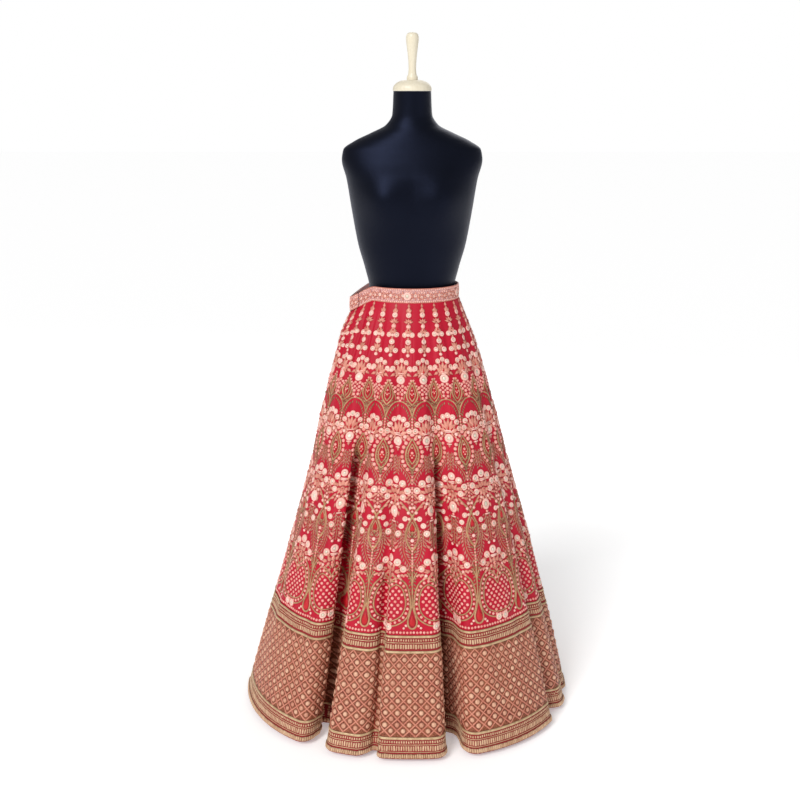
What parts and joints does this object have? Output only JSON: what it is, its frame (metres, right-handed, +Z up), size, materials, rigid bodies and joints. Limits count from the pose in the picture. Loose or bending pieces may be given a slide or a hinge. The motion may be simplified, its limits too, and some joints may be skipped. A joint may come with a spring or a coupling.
{
  "type": "lehenga skirt on a dress form",
  "caption": "Floor-length flared red lehenga skirt with gold embroidery and a trellis hem border, worn by a black limbless dress form on a pole and round base.",
  "frame": {"origin": "centre of the stand's underside, on the axis of the pole", "axes": "+Z up, the wearer faces -Y, +X is the wearer's left"},
  "size_m": [0.8643, 0.8648, 1.7173],
  "materials": {
    "red_silk": "embroidered raw silk, satin sheen",
    "waistband_gold": "dense gold thread and bead embroidery",
    "gold_trim": "woven gold trims with red dots",
    "border_lattice": "dusty copper ground under a trellis of peach thread",
    "black_jersey": "smooth black jersey",
    "turned_wood": "pale turned wood, satin",
    "black_steel": "black powder coat"
  },
  "bodies": {
    "root": {"kali_01": "red_silk", "kali_02": "red_silk", "kali_03": "red_silk", "kali_04": "red_silk", "kali_05": "red_silk", "kali_06": "red_silk", "kali_07": "red_silk", "kali_08": "red_silk", "kali_09": "red_silk", "kali_10": "red_silk", "kali_11": "red_silk", "kali_12": "red_silk", "waistband": "waistband_gold", "hem_trim": "gold_trim", "border_lattice": "border_lattice", "top_trim": "gold_trim", "torso": "black_jersey", "neck_cap": "turned_wood", "stand_pole": "black_steel", "stand_base": "black_steel"}
  },
  "joints": []
}
